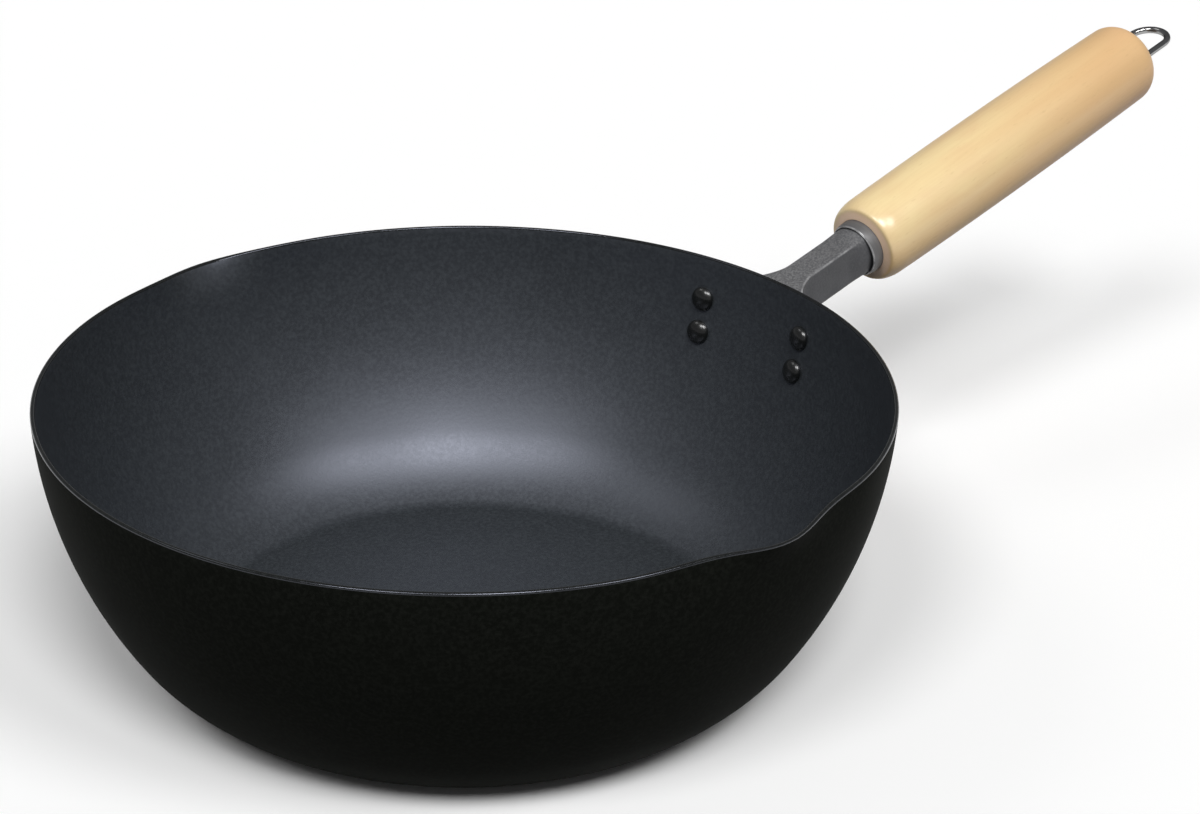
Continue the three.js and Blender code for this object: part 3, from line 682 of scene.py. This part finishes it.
class Look:
    """A node material with a Principled BSDF. Its textures lie in the frame or in the handle's own frame."""

    def __init__(self, name, in_handle=False, **constants):
        self.material = bpy.data.materials.new(name)
        self.material.use_nodes = True
        self.tree = self.material.node_tree
        self.shader = self.tree.nodes["Principled BSDF"]
        self.place = self.node("TexCoord").outputs["Object"]
        if in_handle:
            moved = {"Vector": self.place, "Location": handle_place.translation,
                     "Rotation": (0, -HANDLE_RISE, 0)}
            self.place = self.node("Mapping", moved, vector_type="TEXTURE").outputs[0]
        for socket, value in constants.items():
            self.shader.inputs[socket.replace("_", " ")].default_value = value

    def node(self, kind, inputs=None, **settings):
        made = self.tree.nodes.new("ShaderNode" + kind)
        for name, value in settings.items():
            setattr(made, name, value)
        for name, value in (inputs or {}).items():
            self.put(made.inputs[name], value)
        return made

    def put(self, socket, value):
        if isinstance(value, bpy.types.NodeSocket):
            self.tree.links.new(value, socket)
        else:
            socket.default_value = value

    def noise(self, scale, detail=2.0, stretch=(1, 1, 1), distortion=0.0):
        spread = self.node("Mapping", {"Vector": self.place, "Scale": stretch}).outputs[0]
        inputs = {"Vector": spread, "Scale": scale, "Detail": detail, "Distortion": distortion}
        return self.node("TexNoise", inputs).outputs[0]

    def attribute(self, name):
        return self.node("Attribute", attribute_name=name).outputs["Fac"]

    def span(self, value, low, high, to_low=0.0, to_high=1.0):
        inputs = {"Value": value, "From Min": low, "From Max": high, "To Min": to_low, "To Max": to_high}
        return self.node("MapRange", inputs, clamp=True).outputs[0]

    def maths(self, operation, a, b):
        return self.node("Math", {0: a, 1: b}, operation=operation).outputs[0]

    def mix(self, share, a, b, blend="MIX"):
        inputs = {0: share, 6: colour(a), 7: colour(b)}
        return self.node("Mix", inputs, data_type="RGBA", blend_type=blend).outputs[2]

    def bump(self, height, depth, strength=1.0):
        inputs = {"Height": height, "Distance": depth, "Strength": strength}
        return self.node("Bump", inputs).outputs[0]

    def set(self, **sockets):
        for socket, value in sockets.items():
            self.put(self.shader.inputs[socket.replace("_", " ")], value)


def colour(value):
    return value if isinstance(value, bpy.types.NodeSocket) else (*value, 1.0)


def coat_look(name, tones, gloss, tint, index, roughness):
    """Black heat-resistant coat with a fine sandy grain and faint clouds."""
    dark, light = tones
    look = Look(name, Specular_IOR_Level=gloss, Specular_Tint=(*tint, 1), IOR=index)
    cloud = look.noise(22, 3)
    mottle = look.span(look.noise(260, 2), 0.3, 0.7, -0.05, 0.05)
    grain = look.maths("ADD", look.noise(720, 3), mottle)
    tone = look.mix(cloud, dark, light)
    tone = look.mix(look.span(grain, 0.4, 0.7, 0, 0.65), tone, [1.9 * part for part in light])
    rough = look.span(cloud, 0.3, 0.7, *roughness)
    rough = look.maths("ADD", rough, look.span(grain, 0.35, 0.65, -0.022, 0.022))
    look.set(Base_Color=tone, Roughness=rough, Normal=look.bump(grain, 0.00006, 0.4))
    return look.material


def rivet_look():
    """Smooth black rivets with a satin gloss and faint hammer marks."""
    look = Look("black_rivet", Specular_IOR_Level=0.4, Coat_Weight=0.9, Coat_Roughness=0.16)
    marks = look.noise(420, 2)
    tone = look.mix(look.noise(160, 3), (0.003, 0.0035, 0.0033), (0.006, 0.0066, 0.0063))
    rough = look.span(look.noise(700, 2), 0.3, 0.7, 0.3, 0.36)
    look.set(Base_Color=tone, Roughness=rough, Normal=look.bump(marks, 0.00004, 0.1))
    return look.material


def bracket_look():
    """Grey pressed steel with a blasted grain; painted light on top fades near the collar; painted edge
    highlights.
    """
    look = Look("grained_steel", True, Metallic=0.25, Specular_IOR_Level=0.3)
    along = look.node("SeparateXYZ", {0: look.place}).outputs[0]
    grain = look.noise(1300, 3)
    # Painted light: upward faces lighter and more speckled, fading to painted shade near the collar
    upper = look.maths("MULTIPLY", look.attribute("upper"), look.span(along, 0.02, 0.052, 1, 0.6))
    tone = look.mix(look.noise(170, 4), (0.062, 0.063, 0.068), (0.105, 0.106, 0.113))
    tone = look.mix(look.maths("MULTIPLY", upper, 0.6), tone, (0.15, 0.15, 0.154))
    speckle_and_top_light = look.maths("MULTIPLY", look.span(grain, 0.4, 0.64), look.span(upper, 0, 1, 0.14, 0.75))
    tone = look.mix(speckle_and_top_light, tone, (0.25, 0.25, 0.254))
    # Painted highlight in patches along the convex edges
    patchy = look.span(look.noise(150, 4), 0.38, 0.6, 0.15, 1)
    edge_highlight = look.maths("MULTIPLY", look.span(look.attribute("edge"), 0.4, 0.95), patchy)
    tone = look.mix(edge_highlight, tone, (0.44, 0.44, 0.445))
    rough = look.span(grain, 0.3, 0.7, 0.46, 0.64)
    rough = look.maths("SUBTRACT", rough, look.maths("MULTIPLY", edge_highlight, 0.12))
    look.set(Base_Color=tone, Roughness=rough, Normal=look.bump(grain, 0.00012, 0.6))
    return look.material


def collar_look():
    """Satin steel with fine turning marks round it, and a painted highlight on the bead at its mouth."""
    look = Look("satin_steel", True, Metallic=0.4, Specular_IOR_Level=0.4)
    turning = look.noise(60, 3, (70, 1, 1))
    tone = look.mix(look.noise(210, 3), (0.12, 0.118, 0.12), (0.175, 0.173, 0.175))
    tone = look.mix(look.span(turning, 0.4, 0.75, 0, 0.4), tone, (0.21, 0.21, 0.215))
    # Painted highlight in patches on the bead at the mouth
    bead = look.maths("MULTIPLY", look.attribute("bead"), look.span(look.noise(330, 3), 0.4, 0.6, 0, 1))
    tone = look.mix(bead, tone, (0.36, 0.36, 0.365))
    rough = look.span(turning, 0.3, 0.7, 0.44, 0.58)
    rough = look.maths("SUBTRACT", rough, look.maths("MULTIPLY", bead, 0.26))
    look.set(Base_Color=tone, Roughness=rough, Normal=look.bump(turning, 0.00003, 0.4))
    return look.material


def wood_look():
    """Pale turned wood under clear satin lacquer: figure, patches, fibres; painted shade below, painted light
    on end grain.
    """
    look = Look("lacquered_wood", True, Specular_IOR_Level=0.12,
                Coat_Weight=0.24, Coat_IOR=3.0, Coat_Roughness=0.26)
    along, _, height = look.node("SeparateXYZ", {0: look.place}).outputs
    figure = look.noise(9, 4, (0.45, 5, 5), 0.6)
    fibre = look.noise(38, 3, (0.9, 26, 26))
    fleck = look.span(look.noise(120, 2, (1.6, 9, 9)), 0.63, 0.75)
    patch = look.noise(42, 3, (0.7, 1.5, 1.5))
    rear = look.span(look.maths("ADD", along, look.span(figure, 0.3, 0.7, -0.03, 0.03)), 0.07, 0.21)
    tone = look.mix(rear, (0.93, 0.75, 0.41), (0.76, 0.48, 0.235))
    tone = look.mix(look.span(figure, 0.4, 0.7, 0, 0.4), tone, (0.78, 0.53, 0.27))
    tone = look.mix(look.span(patch, 0.45, 0.7, 0, 0.4), tone, (0.80, 0.50, 0.27))
    tone = look.mix(look.span(fibre, 0.42, 0.72, 0, 0.10), tone, (0.62, 0.40, 0.20))
    tone = look.mix(look.maths("MULTIPLY", fleck, 0.16), tone, (0.50, 0.29, 0.13))
    # Painted shade: the lower side tinted warmer and darker
    uneven = look.maths("ADD", height, look.span(patch, 0.3, 0.7, -0.002, 0.002))
    tone = look.mix(look.span(uneven, 0.003, -0.008), tone, (0.95, 0.77, 0.57), "MULTIPLY")
    # Pinkish end-grain colour on the front ring, made paler still as painted light on this shaded face
    end_grain_and_light = look.attribute("end_grain_and_light")
    pores = look.span(look.noise(1300, 2), 0.35, 0.6, 0.8, 1)
    tone = look.mix(look.maths("MULTIPLY", end_grain_and_light, pores), tone, (0.99, 0.72, 0.53))
    rough = look.maths("ADD", look.span(fibre, 0.3, 0.7, 0.40, 0.52), look.maths("MULTIPLY", end_grain_and_light, 0.2))
    look.set(Base_Color=tone, Roughness=rough, Normal=look.bump(fibre, 0.00006, 0.2))
    return look.material


def bright_look():
    """Polished plating with a slight haze and a faintly uneven surface."""
    look = Look("bright_plating", True, Metallic=1.0, Specular_Tint=(0.2, 0.2, 0.2, 1))
    haze = look.noise(300, 3)
    tone = look.mix(haze, (0.34, 0.34, 0.335), (0.44, 0.44, 0.435))
    rough = look.span(haze, 0.3, 0.7, 0.10, 0.2)
    look.set(Base_Color=tone, Roughness=rough, Normal=look.bump(look.noise(900, 2), 0.00002, 0.2))
    return look.material


def rod_look():
    """Plain drawn steel."""
    look = Look("drawn_steel", True, Metallic=0.9)
    drawn = look.noise(50, 3, (0.5, 20, 20))
    tone = look.mix(drawn, (0.22, 0.22, 0.225), (0.33, 0.33, 0.335))
    look.set(Base_Color=tone, Roughness=look.span(drawn, 0.3, 0.7, 0.34, 0.5),
             Normal=look.bump(drawn, 0.00003, 0.3))
    return look.material


# Pieces

INSIDE_TONES = ((0.0128, 0.0152, 0.0157), (0.0166, 0.0195, 0.0204))
# Outside tones are the same coat made darker, as painted shade on the outside wall and the rim
SHADED_OUTSIDE_TONES = ((0.0058, 0.0065, 0.0052), (0.0080, 0.0087, 0.0074))
BLUISH, NEUTRAL = (0.80, 0.84, 1.0), (1.0, 1.0, 1.0)
inside_coat = coat_look("inside_coat", INSIDE_TONES, gloss=1.0, tint=BLUISH,
                        index=1.58, roughness=(0.43, 0.47))
outside_coat = coat_look("outside_coat", SHADED_OUTSIDE_TONES, gloss=0.006, tint=NEUTRAL,
                         index=1.5, roughness=(0.55, 0.62))
rim_coat = coat_look("rubbed_rim_coat", SHADED_OUTSIDE_TONES, gloss=0.6, tint=BLUISH,
                     index=1.5, roughness=(0.15, 0.21))
rivet_finish, grained, satin = rivet_look(), bracket_look(), collar_look()
wood, bright, drawn_steel = wood_look(), bright_look(), rod_look()

bowl = new_object("coated_bowl", *bowl_shell())
pierced(bowl, Matrix())
dress(bowl, [inside_coat, outside_coat, rim_coat], "pan_body")
INSIDE, OUTSIDE, RIM = range(3)
mouth = Vector((0, 0, BOWL_HEIGHT * MM))
face_centres = np.array([face.center for face in bowl.data.polygons]) / MM
for face, depth in zip(bowl.data.polygons, below_rim(face_centres)):
    faces_mouth = face.normal.dot(mouth - face.center) > 0
    face.material_index = INSIDE if faces_mouth else OUTSIDE
    if depth < BOWL_WALL / 2:
        face.material_index = RIM

for name, place in rivet_places.items():
    rivet = new_object(f"dome_rivet_{name}", *rivet_mesh(), place)
    dress(rivet, [rivet_finish], f"rivet_{name}")

dress(bracket_piece(), [grained], "handle_bracket", sharp=60)
collar_points, collar_faces = collar_mesh()
collar = new_object("turned_collar", collar_points, collar_faces, handle_place)
# The bead at the mouth, for its painted highlight
point_values(collar, "bead", collar_points[:, 0] < COLLAR_FRONT + COLLAR_HIGHLIGHT_WIDTH)
dress(collar, [satin], "collar")
grip_points, grip_faces = grip_mesh()
grip = new_object("turned_grip", grip_points, grip_faces, handle_place)
grip_radius = np.hypot(grip_points[:, 1], grip_points[:, 2])
# Share of the front ring that takes the end-grain colour and its painted light
end_grain_and_light_share = np.clip((END_GRAIN_AND_LIGHT[1] - grip_radius) / (END_GRAIN_AND_LIGHT[1] - END_GRAIN_AND_LIGHT[0]), 0, 1)
point_values(grip, "end_grain_and_light", end_grain_and_light_share * (grip_points[:, 0] < GRIP_FRONT + GRIP_FRONT_ROUND[1]))
dress(grip, [wood], "wood_grip")
dress(new_object("threaded_rod", *rod_mesh(), handle_place), [drawn_steel], "tie_rod")
washer = new_object("flat_washer", *ring_mesh(ROD_HOLE, WASHER_RADIUS, WASHER, WASHER_EASE), handle_place)
dress(washer, [bright], "end_washer")
nut = new_object("round_nut", *ring_mesh(NUT_BORE, NUT_RADIUS, NUT, NUT_EASE), handle_place)
dress(nut, [bright], "loop_nut", body="hanger")
dress(loop_piece(), [bright], "hanging_loop", body="hanger", sharp=60)


# Floor, light and camera

def seen_share(tree):
    """1 for rays that see or mirror the surroundings, and 0 for rays that gather scattered light."""
    path = tree.nodes.new("ShaderNodeLightPath")
    share = path.outputs["Is Camera Ray"]
    for ray in ("Is Glossy Ray", "Is Transmission Ray"):
        either = tree.nodes.new("ShaderNodeMath")
        either.operation = "MAXIMUM"
        tree.links.new(share, either.inputs[0])
        tree.links.new(path.outputs[ray], either.inputs[1])
        share = either.outputs[0]
    return share


def seen_or_dim(tree, dim):
    """A colour mix that is dim for scattered light; its second colour is for rays that see or mirror."""
    tone = tree.nodes.new("ShaderNodeMix")
    tone.data_type = "RGBA"
    tree.links.new(seen_share(tree), tone.inputs[0])
    tone.inputs[6].default_value = (dim, dim, dim, 1)
    return tone.inputs[7], tone.outputs[2]


def make_floor():
    """A wide floor: white where it is seen or mirrored, and less bright in the light it throws back."""
    ways = ((-1, -1), (1, -1), (1, 1), (-1, 1))
    corners = [(FLOOR_REACH * x, FLOOR_REACH * y, -FLOOR_DROP) for x, y in ways]
    floor = new_object("floor", corners, [[0, 1, 2, 3]])
    surface = bpy.data.materials.new("pale_floor")
    surface.use_nodes = True
    tree = surface.node_tree
    tree.nodes.clear()
    white, tone = seen_or_dim(tree, FLOOR_BOUNCE)
    white.default_value = (1, 1, 1, 1)
    matte = tree.nodes.new("ShaderNodeBsdfDiffuse")
    tree.links.new(tone, matte.inputs["Color"])
    output = tree.nodes.new("ShaderNodeOutputMaterial")
    tree.links.new(matte.outputs[0], output.inputs["Surface"])
    floor.data.materials.append(surface)


def make_world():
    """A dim room that is paler towards the horizon, where the backdrop of a studio would be."""
    world = bpy.data.worlds.new("studio")
    bpy.context.scene.world = world
    world.use_nodes = True
    tree = world.node_tree
    place = tree.nodes.new("ShaderNodeTexCoord")
    parts = tree.nodes.new("ShaderNodeSeparateXYZ")
    tree.links.new(place.outputs["Generated"], parts.inputs[0])
    band = tree.nodes.new("ShaderNodeValToRGB")
    tree.links.new(parts.outputs[2], band.inputs[0])
    for stop, (position, shade) in zip(band.color_ramp.elements, ROOM_BAND):
        stop.position = position
        stop.color = shade
    seen, tone = seen_or_dim(tree, ROOM_LEVEL)
    tree.links.new(band.outputs[0], seen)
    tree.links.new(tone, tree.nodes["Background"].inputs["Color"])


def make_lights():
    """A wide soft light above, mostly on the camera's side: round lights by azimuth, elevation and level."""
    for azimuth, elevation, level in LIGHTS:
        data = bpy.data.lights.new("soft_light", "SUN")
        data.energy = level * math.pi
        data.angle = LIGHT_ANGLE
        light = bpy.data.objects.new("soft_light", data)
        around = Matrix.Rotation(math.radians(azimuth), 3, "Z")
        towards = around @ Matrix.Rotation(-math.radians(elevation), 3, "Y") @ Vector((1, 0, 0))
        light.rotation_mode = "QUATERNION"
        light.rotation_quaternion = towards.to_track_quat("Z", "Y")
        bpy.context.scene.collection.objects.link(light)


def make_camera():
    """The view of the photograph."""
    data = bpy.data.cameras.new("photo_view")
    data.sensor_width = SENSOR
    data.lens = PHOTO_FOCAL / PHOTO_WIDTH * SENSOR
    data.clip_start, data.clip_end = CAMERA_CLIP
    forward = Vector((math.cos(CAMERA_PITCH) * math.sin(CAMERA_HEADING),
                      math.cos(CAMERA_PITCH) * math.cos(CAMERA_HEADING), -math.sin(CAMERA_PITCH)))
    level = Vector((math.cos(CAMERA_HEADING), -math.sin(CAMERA_HEADING), 0))
    top = level.cross(forward)
    right = level * math.cos(CAMERA_ROLL) + top * math.sin(CAMERA_ROLL)
    up = top * math.cos(CAMERA_ROLL) - level * math.sin(CAMERA_ROLL)
    camera = bpy.data.objects.new("photo_view", data)
    camera.rotation_mode = "QUATERNION"
    camera.rotation_quaternion = Matrix((right, up, -forward)).transposed().to_quaternion()
    camera.location = CAMERA_AT
    bpy.context.scene.collection.objects.link(camera)
    bpy.context.scene.camera = camera


make_floor()
make_world()
make_lights()
make_camera()
bpy.context.scene.view_settings.view_transform = "Standard"
